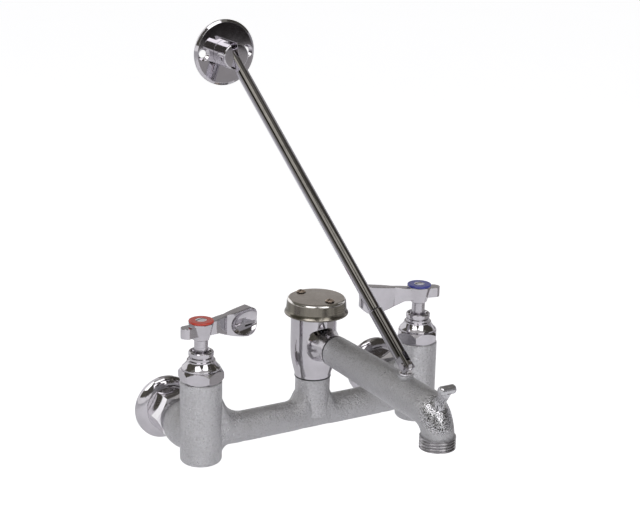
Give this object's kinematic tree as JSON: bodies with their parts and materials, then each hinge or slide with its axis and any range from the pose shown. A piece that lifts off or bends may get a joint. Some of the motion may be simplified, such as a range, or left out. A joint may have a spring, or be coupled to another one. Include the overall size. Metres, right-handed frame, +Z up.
{
  "type": "service sink faucet",
  "caption": "Wall-mounted service sink faucet with lever valves, a vacuum breaker, a threaded hose outlet with pail hook and a telescoping top wall brace",
  "frame": {"origin": "on the wall plane, midway between the axes of the two inlets", "axes": "+Z up; +Y into the wall, so the user stands at -Y; +X to the right as the user faces it, with hot at -X and cold at +X"},
  "size_m": [0.256, 0.2635, 0.3426],
  "materials": {
    "casting": "rough sand-cast surface under satin chrome plating",
    "polished": "polished chrome plating on brass",
    "bar_chrome": "polished chrome-plated bar, reads darker than the fittings",
    "stem_chrome": "turned stem under thin chrome plating",
    "cap_nickel": "satin nickel-plated cap",
    "screw_brass": "bare round-head brass screws",
    "valve_brass": "machined brass, inside",
    "ceramic": "polished alumina ceramic",
    "float_plastic": "moulded acetal",
    "black_rubber": "matte black rubber",
    "index_red": "glossy red index ring",
    "index_blue": "glossy blue index ring"
  },
  "bodies": {
    "faucet": {"body_casting": "casting", "hot_adapter": "polished", "hot_union_nut": "polished", "hot_union_washer": "black_rubber", "hot_seal_ring": "black_rubber", "hot_fixed_disc": "ceramic", "hot_cartridge": "valve_brass", "hot_bonnet": "polished", "hot_packing_nut": "polished", "cold_adapter": "polished", "cold_union_nut": "polished", "cold_union_washer": "black_rubber", "cold_seal_ring": "black_rubber", "cold_fixed_disc": "ceramic", "cold_cartridge": "valve_brass", "cold_bonnet": "polished", "cold_packing_nut": "polished", "breaker_ring": "black_rubber", "breaker_body": "polished", "breaker_guide": "valve_brass", "breaker_cap": "cap_nickel", "cap_screws": "screw_brass", "spout_ring": "black_rubber", "spout": "casting"},
    "hot_handle": {"hot_stem": "stem_chrome", "hot_moving_disc": "ceramic", "hot_stem_ring": "black_rubber", "hot_lever": "polished", "hot_index_ring": "index_red", "hot_index_screw": "polished"},
    "cold_handle": {"cold_stem": "stem_chrome", "cold_moving_disc": "ceramic", "cold_stem_ring": "black_rubber", "cold_lever": "polished", "cold_index_ring": "index_blue", "cold_index_screw": "polished"},
    "float": {"breaker_float": "float_plastic", "float_washer": "black_rubber"},
    "brace_foot": {"brace_eye": "polished"},
    "brace_tube": {"brace_sleeve": "bar_chrome", "brace_lower_pin": "polished"},
    "brace_bar": {"brace_rod": "bar_chrome"},
    "brace_hub": {"brace_turret": "polished", "brace_upper_pin": "polished"},
    "brace_plate": {"brace_flange": "polished"}
  },
  "joints": [
    {"name": "hot_lever_turn", "type": "hinge", "parent": "faucet", "child": "hot_handle", "pos_m": [-0.1016, -0.07, 0.06], "axis": [0, 0, 1], "range_deg": [-95, 0]},
    {"name": "cold_lever_turn", "type": "hinge", "parent": "faucet", "child": "cold_handle", "pos_m": [0.1016, -0.07, 0.06], "axis": [0, 0, 1], "range_deg": [0, 95]},
    {"name": "float_lift", "type": "slide", "parent": "faucet", "child": "float", "axis": [0, 0, 1], "range_m": [0, 0.004]},
    {"name": "brace_swivel", "type": "hinge", "parent": "faucet", "child": "brace_foot", "pos_m": [0, -0.2055, 0.0796], "axis": [0, 0, 1], "range_deg": [-20, 20]},
    {"name": "brace_raise", "type": "hinge", "parent": "brace_foot", "child": "brace_tube", "pos_m": [0, -0.2055, 0.0865], "axis": [0.9707, 0.2401, 0], "range_deg": [-30, 50]},
    {"name": "brace_extend", "type": "slide", "parent": "brace_tube", "child": "brace_bar", "axis": [-0.1665, 0.6729, 0.7207], "range_m": [0, 0.02]},
    {"name": "brace_tilt", "type": "hinge", "parent": "brace_bar", "child": "brace_hub", "pos_m": [-0.047, -0.0155, 0.29], "axis": [0.9744, 0, 0.225], "range_deg": [-30, 30]},
    {"name": "flange_turn", "type": "hinge", "parent": "brace_hub", "child": "brace_plate", "pos_m": [-0.047, -0.0015, 0.29], "axis": [0, 1, 0], "continuous": true}
  ]
}
